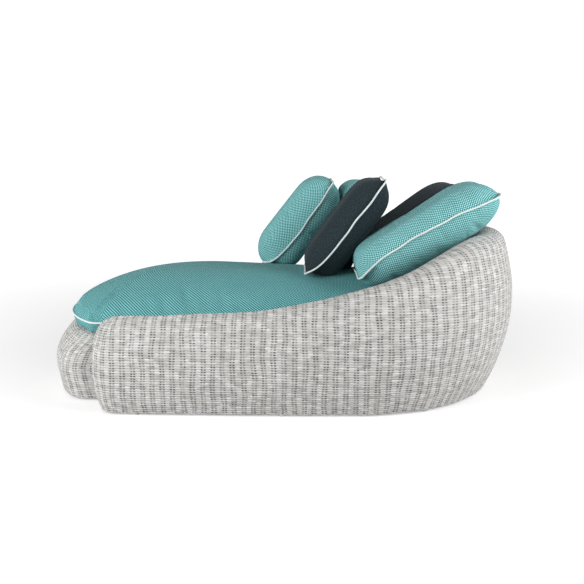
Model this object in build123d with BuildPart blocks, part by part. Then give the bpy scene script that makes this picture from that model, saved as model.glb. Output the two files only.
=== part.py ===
from build123d import *
import os
from math import acos, asin, cos, degrees, hypot, radians, sin

# Garden sofa: a low woven daybed. A thick woven wall runs along the near side as an arm, rises
# round the back and ends in a short far wing. A rounded platform stands inside it and carries a
# seat cushion and five loose back cushions. X runs to the back, the viewer is on the -Y side, Z is
# up, and the origin lies on the floor under the middle of the sofa. All lengths are millimetres.

# Plan of the sofa at floor level
overall_length = 2145.0
nose_reach = 705.0  # from the centre of the nose circle to the widest point of the nose
back_reach = 758.0  # from the centre of the back to the widest point of the back
nose_center = nose_reach - overall_length / 2
back_center = overall_length / 2 - back_reach
back_depth = 650.0  # half axis of the back along X, on the floor
half_width = 632.0  # half axis of the back along Y, on the floor
arm_run = 1015.0  # from the centre of the back to the round end of the arm
arm_taper = 28.0  # how far the arm's end turns in
floor_gap = 12.0  # the weave ends this high above the floor

# Section of the woven wall, first as the low arm, then as the high back
arm_height = 408.0
back_height = 730.0
arm_width = 154.0  # on the floor
back_width = 205.0
arm_bulge = 35.0  # how far the outer face swells beyond its foot
back_bulge = 106.0
arm_bulge_height = 190.0
back_bulge_height = 330.0
back_inner_bulge = 158.0  # how far the inner face lies behind the outer foot at mid height
back_inner_bulge_height = 350.0
arm_roll = 85.0  # half width of the rolled top
back_roll = 76.0
arm_roll_drop = 58.0
back_roll_drop = 68.0
weave_thickness = 6.0

# How far the wall has risen from arm to back, by place: along the arm, then round the back
arm_place_shares = [1.0, 0.85, 0.7, 0.42, 0.2]
arm_rise_shares = [0.0, 0.012, 0.03, 0.08, 0.205]
turn_angles = [-90, -72, -56, -40, -20, 0, 20, 38, 52, 64, 70, 76]
turn_rise_shares = [0.366, 0.555, 0.785, 0.96, 1.0, 1.0, 0.97, 0.82, 0.5, 0.16, 0.06, 0.0]

# Platform: plan as two circles joined by straight sides, height and swelling of its woven side
platform_height = 300.0
nose_radius = 683.0
nose_bulge = nose_reach - nose_radius
platform_back_radius = 400.0
nose_corner = 110.0
platform_swell_shares = [0.0, 0.6, 1.0, 0.9, -0.3, -2.0]
platform_swell_height_shares = [0.0, 0.22, 0.38, 0.55, 0.76, 0.93]
platform_edge_inset = 42.0
deck_inset = 90.0

# Frame tubes, fittings and feet
tube_diameter = 25.0
tube_wall = 2.0
post_diameter = 20.0
weave_clearance = 0.5
wall_tube_clearance = 2.0  # the tubes bend a little more evenly than the weave round them
foot_height = 10.0
tube_height = foot_height + tube_diameter / 2
crossbar_count = 5
crossbar_shift = 40.0
post_nose_angles = [100, 130, 160, 190]
post_back_angles = [-50, 0, 50]
foot_diameter = 38.0
foot_tip_diameter = 32.0
foot_arm_shares = [0.92, 0.31]
foot_turn_angles = [-62, 0, 62]
foot_nose_angles = [85, 140, 190]
foot_back_angles = [-75, 55]
screw_diameter = 5.0
screw_head_diameter = 9.0
screw_head_height = 3.0
screw_length = 16.0
tie_width = 30.0
tie_thickness = 3.0
tie_arm_shares = [0.7, 0.1]
tie_turn_angles = [-30, 30]

# Seat cushion
seat_nose_radius = 620.0
seat_back_radius = 420.0
seat_back_shift = 50.0
seat_corner = 60.0
seat_thickness = 210.0
seat_seam_height = 56.0
seat_crown_inset = 390.0  # the crown rises from the seam to this far in
seat_crown_power = 1.45
seat_crown_shares = [0.015, 0.06, 0.14, 0.26, 0.42, 0.6, 0.8, 1.0]
seat_foot_inset = 34.0
seat_foot_angles = [90, 60, 30, 0]
rest_gap = 0.3  # clearance of a soft piece to what it rests on
rest_steps = 24  # most steps up or down until a piece rests
rest_lift = 0.45  # the measured gap between two crowned faces can come out this much too large
cover_thickness = 2.0
piping_diameter = 8.0
zip_width = 12.0
zip_height_share = 0.11  # height of the zip on its cushion
zip_length_share = 0.7
seat_zip_half_length = 260.0
seat_zip_height = 30.0  # above the seat cushion's underside

# Back cushions: width, height, thickness, lean from the floor, turn about the upright, and the
# place of the middle of the lower edge in plan
back_cushions = {
    "front": (400.0, 540.0, 200.0, 52.0, 0.0, (-80.0, 385.0)),
    "far": (390.0, 530.0, 160.0, 54.0, 3.0, (171.0, 372.0)),
    "middle": (370.0, 550.0, 205.0, 53.0, 0.0, (125.0, -22.0)),
    "rear": (450.0, 640.0, 200.0, 35.0, 8.0, (395.0, 225.0)),
    "near": (396.0, 730.0, 194.0, 31.0, 0.0, (328.0, -192.0)),
}
back_corner = 70.0
back_side_draw = 14.0  # how far each side is drawn in between the corners
back_angles = [-90, -75, -60, -40, -20, 0, 20, 40, 60, 75, 90]
back_crown_share = 0.5  # size of the flat middle of a face against the whole cushion

cut_overrun = 10.0
os.makedirs("parts", exist_ok=True)


def between(low, high, share):
    return low + (high - low) * share


def write(piece, label):
    piece.label = label
    export_step(piece, f"parts/{label}.step")


# Stations along the wall: the foot of the outer face, its outward direction and the rise there
def arm_station(share, rise):
    foot_x = back_center - share * arm_run
    foot_y = arm_taper * share**2 - half_width
    slope = -2 * arm_taper * share / arm_run
    size = hypot(1, slope)
    return foot_x, foot_y, slope / size, -1 / size, rise


def turn_station(angle, rise):
    turn = radians(angle)
    out_x = half_width * cos(turn)
    out_y = back_depth * sin(turn)
    size = hypot(out_x, out_y)
    foot_x = back_center + back_depth * cos(turn)
    return foot_x, half_width * sin(turn), out_x / size, out_y / size, rise


stations = [arm_station(place, rise) for place, rise in zip(arm_place_shares, arm_rise_shares)]
stations += [turn_station(angle, rise) for angle, rise in zip(turn_angles, turn_rise_shares)]


def station_plane(station):
    foot_x, foot_y, out_x, out_y, _ = station
    return Plane((foot_x, foot_y, 0), x_dir=(out_x, out_y, 0), z_dir=(out_y, -out_x, 0))


def crown_place(rise):
    return between(-arm_width / 2, 0, rise), between(arm_height, back_height, rise)


def wall_contour(rise, inset):
    crown, height = crown_place(rise)
    roll = between(arm_roll, back_roll, rise) - inset
    shoulder = height - between(arm_roll_drop, back_roll_drop, rise)
    bulge = between(arm_bulge, back_bulge, rise) - inset
    bulge_height = between(arm_bulge_height, back_bulge_height, rise)
    inner = between(-arm_width - arm_bulge, -back_inner_bulge, rise) + inset
    inner_height = between(arm_bulge_height, back_inner_bulge_height, rise)
    inner_foot = between(-arm_width, -back_width, rise) + inset
    outer = [(-inset, floor_gap), (bulge, bulge_height), (crown + roll, shoulder)]
    over = [(crown, height - inset), (crown - roll, shoulder)]
    return outer + over + [(inner, inner_height), (inner_foot, floor_gap)]


def wall_band(rise):
    outside = wall_contour(rise, 0)
    inside = wall_contour(rise, weave_thickness)[::-1]
    with BuildLine() as band:
        for contour in (outside, inside):
            ThreePointArc(*contour[0:3])
            ThreePointArc(*contour[2:5])
            ThreePointArc(*contour[4:7])
        Line(outside[6], inside[0])
        Line(inside[6], outside[0])
    return band.line


# The round end turns the outer half of the arm's section about the arm's middle line
def end_contour(inset):
    middle = -arm_width / 2
    shoulder = arm_height - arm_roll_drop
    roll = arm_roll - inset
    drop = arm_roll_drop - inset
    radius = (roll**2 + drop**2) / (2 * drop)
    half_turn = acos((radius - drop) / radius) / 2
    crest = (middle + radius * sin(half_turn), shoulder + drop - radius + radius * cos(half_turn))
    side = [(-inset, floor_gap), (arm_bulge - inset, arm_bulge_height), (middle + roll, shoulder)]
    return side + [crest, (middle, shoulder + drop)]


def end_weave(station, side):
    outside = end_contour(0)
    inside = end_contour(weave_thickness)[::-1]
    plane = station_plane(station)
    with BuildPart() as end:
        with BuildSketch(plane):
            with BuildLine():
                for contour in (outside, inside):
                    ThreePointArc(*contour[0:3])
                    ThreePointArc(*contour[2:5])
                Line(outside[4], inside[0])
                Line(inside[4], outside[0])
            make_face()
        pivot = plane.from_local_coords((-arm_width / 2, 0, 0))
        revolve(axis=Axis(pivot, (0, 0, -side)), revolution_arc=180)
    return end.part


# Woven wall: one long skin, open below, with a round end piece at the arm and at the wing
with BuildPart() as wall_weave:
    for station in stations:
        with BuildSketch(station_plane(station)):
            with BuildLine():
                add(wall_band(station[4]))
            make_face()
    loft()
write(wall_weave.part, "arm_and_back_weave")
write(end_weave(stations[0], 1), "arm_end_weave")
write(end_weave(stations[-1], -1), "wing_end_weave")


# A tube or a cord along a closed line, run by run
def cord_along(line, diameter, bore=0.0):
    with BuildPart() as cord:
        for run in line.edges():
            with BuildSketch(Plane(run @ 0, z_dir=run % 0)):
                Circle(diameter / 2)
                if bore:
                    Circle(bore / 2, mode=Mode.SUBTRACT)
            sweep(path=run)
    return cord.part


# Plan outline of two circles joined by straight sides; the near side runs level from the back circle
def hull_outline(nose, back, corner, shift=0):
    back_x = back_center + shift
    run = back_x - nose_center
    lean = asin((nose - back) / run)
    far_nose = (nose_center + nose * sin(lean), nose * cos(lean))
    far_back = (back_x + back * sin(lean), back * cos(lean))
    nose_start = 90 - degrees(lean)
    nose_end = 180 + degrees(asin(back / nose))
    near_nose = (nose_center - nose * cos(asin(back / nose)), -back)
    with BuildSketch(mode=Mode.PRIVATE) as outline:
        with BuildLine():
            CenterArc((nose_center, 0), nose, nose_start, nose_end - nose_start)
            Line(near_nose, (back_x, -back))
            CenterArc((back_x, 0), back, -90, nose_start + 90)
            Line(far_back, far_nose)
        make_face()
        fillet(outline.vertices().sort_by_distance(near_nose)[0], corner)
    return outline.sketch


# Platform weave: its side swells out at the nose, turns in at the top and leaves the deck open
platform_levels = list(zip(platform_swell_shares, platform_swell_height_shares))


def platform_outline(inset, swell=0.0):
    nose = nose_radius + swell * nose_bulge - inset
    return hull_outline(nose, platform_back_radius - inset, nose_corner - inset)


def platform_block(inset, overrun):
    side = platform_height - floor_gap
    with BuildPart() as block:
        for swell, height_share in platform_levels:
            height = floor_gap + side * height_share - (overrun if height_share == 0 else 0)
            with BuildSketch(Plane.XY.offset(height)):
                add(platform_outline(inset, swell))
        with BuildSketch(Plane.XY.offset(platform_height - inset)):
            add(platform_outline(inset + platform_edge_inset))
        loft(ruled=True)
    return block.part


with BuildPart() as platform_weave:
    add(platform_block(0, 0))
    add(platform_block(weave_thickness, cut_overrun), mode=Mode.SUBTRACT)
    with BuildSketch(Plane.XY.offset(platform_height - 2 * weave_thickness)):
        add(platform_outline(deck_inset))
    extrude(amount=2 * weave_thickness + cut_overrun, mode=Mode.SUBTRACT)
write(platform_weave.part, "platform_weave")

with BuildPart() as deck_weave:
    with BuildSketch(Plane.XY.offset(platform_height - weave_thickness)):
        add(platform_outline(deck_inset + weave_clearance))
    extrude(amount=weave_thickness)
write(deck_weave.part, "deck_weave")


# Frame inside the wall: two tubes that follow the stations, and posts between them
def foot_tube_place(rise):
    return -weave_thickness - wall_tube_clearance - tube_diameter / 2, tube_height


def rim_tube_place(rise):
    crown, height = crown_place(rise)
    return crown, height - weave_thickness - wall_tube_clearance - tube_diameter / 2


def wall_tube(place, diameter):
    with BuildPart() as tube:
        for station in stations:
            with BuildSketch(station_plane(station)):
                with Locations(place(station[4])):
                    Circle(diameter / 2)
        loft()
    return tube.part


def strut(start, end, diameter):
    run = Vector(end) - Vector(start)
    with BuildPart() as bar:
        with BuildSketch(Plane(start, z_dir=run)):
            Circle(diameter / 2)
            Circle(diameter / 2 - tube_wall, mode=Mode.SUBTRACT)
        extrude(amount=run.length)
    return bar.part


def wall_point(station, place):
    across, height = place(station[4])
    return station_plane(station).from_local_coords((across, height, 0))


tube_bore = tube_diameter - 2 * tube_wall
wall_foot_solid = wall_tube(foot_tube_place, tube_diameter)
wall_rim_solid = wall_tube(rim_tube_place, tube_diameter)
write(wall_rim_solid - wall_tube(rim_tube_place, tube_bore), "wall_rim_tube")

with BuildPart() as wall_posts:
    for station in stations[1::2]:
        add(strut(wall_point(station, foot_tube_place), wall_point(station, rim_tube_place), post_diameter))
    add([wall_foot_solid, wall_rim_solid], mode=Mode.SUBTRACT)
write(wall_posts.part, "wall_posts")


# Frame inside the platform: a tube round the foot, a tube round the deck, posts and crossbars
foot_ring_nose = nose_radius - weave_thickness - weave_clearance - tube_diameter / 2
ring_back = platform_back_radius - deck_inset
deck_ring_height = platform_height - weave_thickness - weave_clearance - tube_diameter / 2


def ring_tube(outline, height, bore):
    return cord_along(Pos(0, 0, height) * outline.face().outer_wire(), tube_diameter, bore)


def ring_point(center_x, radius, angle, height):
    return center_x + radius * cos(radians(angle)), radius * sin(radians(angle)), height


foot_ring_outline = hull_outline(foot_ring_nose, ring_back, nose_corner)
foot_ring_solid = ring_tube(foot_ring_outline, tube_height, 0)
deck_ring_solid = ring_tube(platform_outline(deck_inset), deck_ring_height, 0)
write(ring_tube(platform_outline(deck_inset), deck_ring_height, tube_bore), "platform_deck_tube")

with BuildPart() as platform_posts:
    for angle in post_nose_angles:
        foot = ring_point(nose_center, foot_ring_nose, angle, tube_height)
        head = ring_point(nose_center, nose_radius - deck_inset, angle, deck_ring_height)
        add(strut(foot, head, post_diameter))
    for angle in post_back_angles:
        foot = ring_point(back_center, ring_back, angle, tube_height)
        head = ring_point(back_center, ring_back, angle, deck_ring_height)
        add(strut(foot, head, post_diameter))
    add([foot_ring_solid, deck_ring_solid], mode=Mode.SUBTRACT)
write(platform_posts.part, "platform_posts")

with BuildPart() as deck_crossbars:
    for index in range(crossbar_count):
        across_x = between(nose_center, back_center, (index + 0.5) / crossbar_count) - crossbar_shift
        start = (across_x, -half_width, deck_ring_height)
        add(strut(start, (across_x, half_width, deck_ring_height), post_diameter))
    with BuildSketch(Plane.XY.offset(deck_ring_height - tube_diameter)):
        add(platform_outline(deck_inset))
    extrude(amount=2 * tube_diameter, mode=Mode.INTERSECT)
    add(deck_ring_solid, mode=Mode.SUBTRACT)
write(deck_crossbars.part, "deck_crossbars")

# Feet, and flat ties that join the two frames, all held by screws from below
foot_stations = [arm_station(share, 0) for share in foot_arm_shares]
foot_stations += [turn_station(angle, 0) for angle in foot_turn_angles]
tie_stations = [arm_station(share, 0) for share in tie_arm_shares]
tie_stations += [turn_station(angle, 0) for angle in tie_turn_angles]
foot_points = [wall_point(station, foot_tube_place) for station in foot_stations]
foot_points += [Vector(ring_point(nose_center, foot_ring_nose, angle, 0)) for angle in foot_nose_angles]
foot_points += [Vector(ring_point(back_center, ring_back, angle, 0)) for angle in foot_back_angles]
foot_places = [(point.X, point.Y) for point in foot_points]
tie_places = []
tie_end = -foot_tube_place(0)[0]  # from a tie's screws to its ends


def tie_reach(station):
    return hypot(max(station[0] - back_center, 0), station[1]) - ring_back


for station in tie_stations:
    for reach in (-tie_end, -tie_reach(station)):
        point = station_plane(station).from_local_coords((reach, 0, 0))
        tie_places.append((point.X, point.Y))


def screws(places, head_start):
    with BuildPart() as group:
        with BuildSketch(Plane.XY.offset(head_start)):
            with Locations(places):
                Circle(screw_head_diameter / 2)
        extrude(amount=screw_head_height)
        with BuildSketch(Plane.XY.offset(head_start + screw_head_height)):
            with Locations(places):
                Circle(screw_diameter / 2)
        extrude(amount=screw_length)
    return group.part


screw_head_start = foot_height - tie_thickness - screw_head_height
foot_screws = screws(foot_places, screw_head_start)
tie_screws = screws(tie_places, screw_head_start)
write(foot_screws, "foot_screws")
write(tie_screws, "tie_screws")

with BuildPart() as feet:
    for place in foot_places:
        with BuildSketch(Plane((*place, 0))):
            Circle(foot_tip_diameter / 2)
        with BuildSketch(Plane((*place, foot_height))):
            Circle(foot_diameter / 2)
        loft()
    with BuildSketch():
        with Locations(foot_places):
            Circle(screw_head_diameter / 2)
    extrude(amount=screw_head_start + screw_head_height, mode=Mode.SUBTRACT)
    with BuildSketch():
        with Locations(foot_places):
            Circle(screw_diameter / 2)
    extrude(amount=foot_height, mode=Mode.SUBTRACT)
write(feet.part, "feet")

with BuildPart() as tie_plates:
    for station in tie_stations:
        plane = station_plane(station)
        with BuildSketch(Plane(plane.origin + (0, 0, foot_height - tie_thickness), x_dir=plane.x_dir)):
            length = tie_reach(station) + tie_end
            with Locations((-length / 2, 0)):
                SlotOverall(length, tie_width)
        extrude(amount=tie_thickness)
    add(tie_screws, mode=Mode.SUBTRACT)
write(tie_plates.part, "tie_plates")

with BuildPart() as wall_foot_tube:
    add(wall_foot_solid)
    add([wall_tube(foot_tube_place, tube_bore), foot_screws, tie_screws], mode=Mode.SUBTRACT)
write(wall_foot_tube.part, "wall_foot_tube")

with BuildPart() as platform_foot_tube:
    add(ring_tube(foot_ring_outline, tube_height, tube_bore))
    add([foot_screws, tie_screws], mode=Mode.SUBTRACT)
write(platform_foot_tube.part, "platform_foot_tube")


# Seat cushion: crowned above and below its seam, with piping round the seam and a zip behind
seat_floor = platform_height + rest_gap


def seat_outline(inset):
    nose, back = seat_nose_radius - inset, seat_back_radius - inset
    return hull_outline(nose, back, seat_corner * back / seat_back_radius, seat_back_shift)


def seat_block(inset):
    below = seat_seam_height - inset
    above = seat_thickness - seat_seam_height - inset
    levels = [(-below * sin(radians(a)), seat_foot_inset * (1 - cos(radians(a)))) for a in seat_foot_angles]
    for share in seat_crown_shares:
        crown_share = (1 - (1 - share) ** seat_crown_power) ** (1 / seat_crown_power)
        levels.append((above * crown_share, seat_crown_inset * share))
    with BuildPart() as block:
        for rise, draw in levels:
            with BuildSketch(Plane.XY.offset(seat_floor + seat_seam_height + rise)):
                add(seat_outline(draw + 2 * inset))
        loft(ruled=True)
    return block.part


seat_solid = seat_block(0)
seat_back_end = back_center + seat_back_shift + seat_back_radius
with BuildPart() as seat_zip_space:
    with BuildSketch(Plane.XY.offset(seat_floor + seat_zip_height)):
        with Locations((seat_back_end, 0)):
            Rectangle(seat_back_radius, 2 * seat_zip_half_length)
    extrude(amount=zip_width)
with BuildPart() as seat_foam:
    add(seat_block(cover_thickness))
with BuildPart() as seat_cover:
    add(seat_solid)
    add(seat_foam.part, mode=Mode.SUBTRACT)
with BuildPart() as seat_zip:
    add(seat_cover.part)
    add(seat_zip_space.part, mode=Mode.INTERSECT)
with BuildPart() as seat_cover_open:
    add(seat_cover.part)
    add(seat_zip_space.part, mode=Mode.SUBTRACT)
piping_offset = piping_diameter / 2 + rest_gap
seat_seam = Pos(0, 0, seat_floor + seat_seam_height) * seat_outline(-piping_offset).face().outer_wire()
write(seat_cover_open.part, "seat_cushion_cover")
write(seat_foam.part, "seat_cushion_foam")
write(seat_zip.part, "seat_cushion_zip")
write(cord_along(seat_seam, piping_diameter), "seat_cushion_piping")


# Back cushions: each is a pillow with its seam and piping in its middle plane
def pillow_outline(width, height, size_share, grow):
    half, rise = width * size_share / 2 + grow, height * size_share / 2 + grow
    draw = back_side_draw * size_share
    corners = [(-half, -rise), (half, -rise), (half, rise), (-half, rise)]
    drawn = [(0, draw - rise), (half - draw, 0), (0, rise - draw), (draw - half, 0)]
    with BuildSketch(mode=Mode.PRIVATE) as outline:
        with BuildLine():
            for index in range(4):
                ThreePointArc(corners[index], drawn[index], corners[(index + 1) % 4])
        make_face()
        fillet(outline.vertices(), back_corner * size_share + grow)
    return Pos(0, height / 2) * outline.sketch


def cushion_plane(lean, turn, place, height):
    tilt, yaw = radians(lean), radians(turn)
    normal = (-sin(tilt) * cos(yaw), -sin(tilt) * sin(yaw), cos(tilt))
    return Plane((*place, height), x_dir=(sin(yaw), -cos(yaw), 0), z_dir=normal)


def pillow_block(width, height, thickness, inset):
    with BuildPart() as block:
        for angle in back_angles:
            size_share = between(back_crown_share, 1, cos(radians(angle)))
            with BuildSketch(Plane.XY.offset(sin(radians(angle)) * (thickness / 2 - inset))):
                add(pillow_outline(width, height, size_share, -2 * inset))
        loft(ruled=True)
    return block.part


def make_pillow(width, height, thickness):
    fill = pillow_block(width, height, thickness, cover_thickness)
    with BuildPart() as cover:
        add(pillow_block(width, height, thickness, 0))
        add(fill, mode=Mode.SUBTRACT)
    with BuildPart() as zip_space:
        with BuildSketch(Plane.XY.offset(-thickness)):
            with Locations((0, height * zip_height_share)):
                Rectangle(width * zip_length_share, zip_width)
        extrude(amount=thickness)
    zipper = cover.part & zip_space.part
    open_cover = cover.part - zip_space.part
    seam = pillow_outline(width, height, 1, piping_offset).face().outer_wire()
    piping = cord_along(seam, piping_diameter)
    return {"cover": open_cover, "fill": fill, "zip": zipper, "piping": piping}


# A soft piece is let down along a line until it is the rest gap away from what lies under it. Where
# it has gone too far the measured gap is 0, and it goes back up by one rest gap.
def rest_shift(pieces, under, direction):
    shift = 0.0
    for _ in range(rest_steps):
        moved = [Pos(*(Vector(direction) * shift)) * piece for piece in pieces]
        gap = min(piece.distance_to(under) for piece in moved)
        if abs(gap - rest_gap) < rest_gap / 10:
            break
        shift += gap - rest_gap
    return shift


for name, (width, height, thickness, lean, turn, place) in back_cushions.items():
    pillow = make_pillow(width, height, thickness)
    start = cushion_plane(lean, turn, place, seat_floor + seat_thickness + thickness / 2)
    placed = {role: start.location * piece for role, piece in pillow.items()}
    drop = rest_shift([placed["piping"], placed["cover"]], seat_cover_open.part, (0, 0, -1))
    for role, piece in placed.items():
        write(Pos(0, 0, rest_lift - drop) * piece, f"{name}_cushion_{role}")
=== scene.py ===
from math import acos, asin, atan2, cos, floor, hypot, pi, radians, sin, sqrt, tan

import bmesh
import bpy
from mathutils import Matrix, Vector, noise
from mathutils.bvhtree import BVHTree
from mathutils.kdtree import KDTree


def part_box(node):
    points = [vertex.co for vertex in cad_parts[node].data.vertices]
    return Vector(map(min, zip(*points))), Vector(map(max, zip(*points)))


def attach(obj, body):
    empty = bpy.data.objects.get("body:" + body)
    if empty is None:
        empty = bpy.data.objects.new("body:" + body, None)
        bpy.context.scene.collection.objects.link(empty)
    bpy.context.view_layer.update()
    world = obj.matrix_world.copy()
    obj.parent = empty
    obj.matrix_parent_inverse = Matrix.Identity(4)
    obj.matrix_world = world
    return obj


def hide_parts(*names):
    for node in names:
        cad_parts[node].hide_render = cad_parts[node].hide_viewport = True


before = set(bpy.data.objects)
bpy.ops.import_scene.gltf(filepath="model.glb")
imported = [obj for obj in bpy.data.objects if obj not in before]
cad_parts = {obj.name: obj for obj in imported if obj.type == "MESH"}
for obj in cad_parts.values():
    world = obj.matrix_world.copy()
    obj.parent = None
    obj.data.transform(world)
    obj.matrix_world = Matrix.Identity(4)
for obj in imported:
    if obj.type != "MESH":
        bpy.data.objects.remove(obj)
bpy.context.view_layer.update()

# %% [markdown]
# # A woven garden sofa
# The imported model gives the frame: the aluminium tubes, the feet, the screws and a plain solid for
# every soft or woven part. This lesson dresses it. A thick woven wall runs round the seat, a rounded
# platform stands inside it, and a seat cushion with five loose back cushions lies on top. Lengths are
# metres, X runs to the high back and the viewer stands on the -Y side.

# %% [markdown]
# ## Plan and section of the wall
# The sofa has no straight lines, so every woven piece hangs on a few measured numbers. In plan the arm
# bends in a little and the back is half an ellipse. Along this line the section grows from a low arm
# to a high back and falls again to the far wing. A table of rises could be joined by straight runs,
# but the rim would show corners, so a smooth cubic runs through it.

# %% Measured sizes of the wall
NOSE_CENTER = -0.3675
BACK_CENTER = 0.3145
BACK_DEPTH, HALF_WIDTH = 0.650, 0.632
ARM_RUN, ARM_TAPER = 1.015, 0.028
FLOOR_GAP = 0.012
ARM_WIDTH = 0.154
TURN_SCALE = 0.641  # metres of wall for each radian of the turn
ARM_RISES = [(1.0, 0.0), (0.85, 0.012), (0.7, 0.03), (0.42, 0.08), (0.2, 0.205)]
TURN_RISES = [(-90, 0.366), (-72, 0.555), (-56, 0.785), (-40, 0.96), (-20, 1.0), (0, 1.0), (20, 0.97),
              (38, 0.82), (52, 0.5), (64, 0.16), (70, 0.06), (76, 0.0)]
rise_table = [(-share * ARM_RUN, rise) for share, rise in ARM_RISES]
rise_table += [(TURN_SCALE * radians(angle + 90), rise) for angle, rise in TURN_RISES]
WALL_START, WALL_END = rise_table[0][0], rise_table[-1][0]
print("wall runs", round(WALL_END - WALL_START, 2), "m")


# %% [markdown]
# The rises are read with a cubic whose slope at each row comes from its two neighbours, so the rim
# runs through every measured height without a corner.

# %% Smooth reading of a table
def read_table(table, place):
    last = len(table) - 2
    step = next((i for i in range(last + 1) if place <= table[i + 1][0]), last)
    (x0, y0), (x1, y1) = table[step], table[step + 1]
    before, after = table[max(step - 1, 0)], table[min(step + 2, last + 1)]
    slope0 = (y1 - before[1]) / (x1 - before[0])
    slope1 = (after[1] - y0) / (after[0] - x0)
    t, run = (place - x0) / (x1 - x0), x1 - x0
    return (y0 * (2 * t**3 - 3 * t**2 + 1) + y1 * (3 * t**2 - 2 * t**3)
            + run * slope0 * (t**3 - 2 * t**2 + t) + run * slope1 * (t**3 - t**2))


# %% [markdown]
# The arm's foot line is a shallow curve and the back's is half an ellipse. Each place on it also needs
# the direction that points out of the sofa, because the section is drawn along it.

# %% The foot line of the wall, with its outward direction
def foot_line(place):
    if place <= 0:
        share = -place / ARM_RUN
        out = Vector((-2 * ARM_TAPER * share / ARM_RUN, -1, 0)).normalized()
        return Vector((BACK_CENTER + place, ARM_TAPER * share**2 - HALF_WIDTH, 0)), out
    turn = place / TURN_SCALE - pi / 2
    out = Vector((HALF_WIDTH * cos(turn), BACK_DEPTH * sin(turn), 0)).normalized()
    return Vector((BACK_CENTER + BACK_DEPTH * cos(turn), HALF_WIDTH * sin(turn), 0)), out


# %% [markdown]
# ## The section as arcs
# The weaver bends the strands over three curves: the swelling outer face, the rolled rim and the inner
# face. Below, the weave is turned under the lowest tube, so each side starts with a short hem. An arc
# through three points gives a place for any distance along it.

# %% Arcs and hems of the section
def arc(a, b, c):
    (ax, az), (bx, bz), (cx, cz) = a, b, c
    d = 2 * (ax * (bz - cz) + bx * (cz - az) + cx * (az - bz))
    mx = ((ax**2 + az**2) * (bz - cz) + (bx**2 + bz**2) * (cz - az) + (cx**2 + cz**2) * (az - bz)) / d
    mz = ((ax**2 + az**2) * (cx - bx) + (bx**2 + bz**2) * (ax - cx) + (cx**2 + cz**2) * (bx - ax)) / d
    radius = hypot(ax - mx, az - mz)
    start = atan2(az - mz, ax - mx)
    sweep = (atan2(cz - mz, cx - mx) - start) % (2 * pi)
    middle = (atan2(bz - mz, bx - mx) - start) % (2 * pi)
    sweep = sweep if middle < sweep else sweep - 2 * pi
    return mx, mz, radius, start, sweep, radius * abs(sweep)


def mix(low, high, share):
    return low + (high - low) * share


HEM = 0.005
# Each pair is a size at the low arm and at the high back
CROWN_PLACE, CROWN_HEIGHT = (-ARM_WIDTH / 2, 0), (0.408, 0.730)
ROLL, SHOULDER_DROP = (0.085, 0.076), (0.058, 0.068)
OUTER_SWELL, OUTER_SWELL_HEIGHT = (0.035, 0.106), (0.190, 0.330)
INNER_SWELL, INNER_SWELL_HEIGHT = (-0.189, -0.158), (0.190, 0.350)
INNER_FOOT = (-ARM_WIDTH, -0.205)


def hem(foot_x, side):
    start = (foot_x - 2 * side * HEM, FLOOR_GAP)
    return arc(start, (foot_x - side * HEM, FLOOR_GAP - HEM), (foot_x, FLOOR_GAP))


def wall_section(rise):
    crown, height = mix(*CROWN_PLACE, rise), mix(*CROWN_HEIGHT, rise)
    roll, shoulder = mix(*ROLL, rise), height - mix(*SHOULDER_DROP, rise)
    swell = (mix(*OUTER_SWELL, rise), mix(*OUTER_SWELL_HEIGHT, rise))
    hollow = (mix(*INNER_SWELL, rise), mix(*INNER_SWELL_HEIGHT, rise))
    outer = [(0, FLOOR_GAP), swell, (crown + roll, shoulder)]
    foot = (mix(*INNER_FOOT, rise), FLOOR_GAP)
    inner = [(crown - roll, shoulder), hollow, foot]
    near, far = hem(0, 1), hem(foot[0], -1)
    back = (far[0], far[1], far[2], far[3] + far[4], -far[4], far[5])
    return [near, arc(*outer), arc(outer[2], (crown, height), inner[0]), arc(*inner), back]


def along(section, distance):
    for index, (mx, mz, radius, start, sweep, length) in enumerate(section):
        if distance <= length or index == len(section) - 1:
            angle = start + sweep * min(distance / length, 1)
            return mx + radius * cos(angle), mz + radius * sin(angle)
        distance -= length


print("arm section", round(sum(part[5] for part in wall_section(0)), 3), "m of weave")
print("back section", round(sum(part[5] for part in wall_section(1)), 3), "m of weave")

# %% [markdown]
# ## Relief of the weave
# Flat synthetic strands 11 mm wide run level round the sofa and pass over and under uprights that
# stand 21 mm apart. Real strands crossing each other would take millions of faces. One sheet of small
# faces is raised and lowered instead, so the rim and the outline still show strands, and the finish
# draws what is finer. The sheet also waves a little, as handwork does.

# %% Height of the weave at a place on the sheet
STRAND, UPRIGHT, SLOT = 0.011, 0.021, 0.014
STRAND_HEIGHT, CROSSING_HEIGHT, SWAY_HEIGHT = 0.0022, 0.0011, 0.0028
STRAND_ROUNDNESS = 0.7  # below 1 the strand is flatter than a round one
SWAYS_ALONG, SWAYS_UP = 7, 9  # sways for each metre
SWAY_SEED = 0.3


def relief(u, v, wave=1.0):
    row = floor(v / STRAND)
    strand = abs(sin(pi * v / STRAND)) ** STRAND_ROUNDNESS
    over = sin(pi * (u / UPRIGHT + row))
    sway = noise.noise(Vector((u * SWAYS_ALONG, v * SWAYS_UP, SWAY_SEED))) * SWAY_HEIGHT * wave
    return strand * (STRAND_HEIGHT + CROSSING_HEIGHT * over) - STRAND_HEIGHT + sway


# %% [markdown]
# Every woven piece is then made the same way: a flat grid is laid on the form, each point keeps its
# distance along and up the weave as its texture place, and the relief moves it along its own normal.

# %% A woven sheet from a grid, a place for each of its points, and the relief
def put_in_scene(bm, name, uv=None):
    mesh = bpy.data.meshes.new(name)
    if uv:
        layer = bm.loops.layers.uv.new("weave")
        for face in bm.faces:
            for loop in face.loops:
                loop[layer].uv = uv[loop.vert.index]
            face.smooth = True
    bm.to_mesh(mesh)
    bm.free()
    piece = bpy.data.objects.new(name, mesh)
    bpy.context.scene.collection.objects.link(piece)
    return piece


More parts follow.
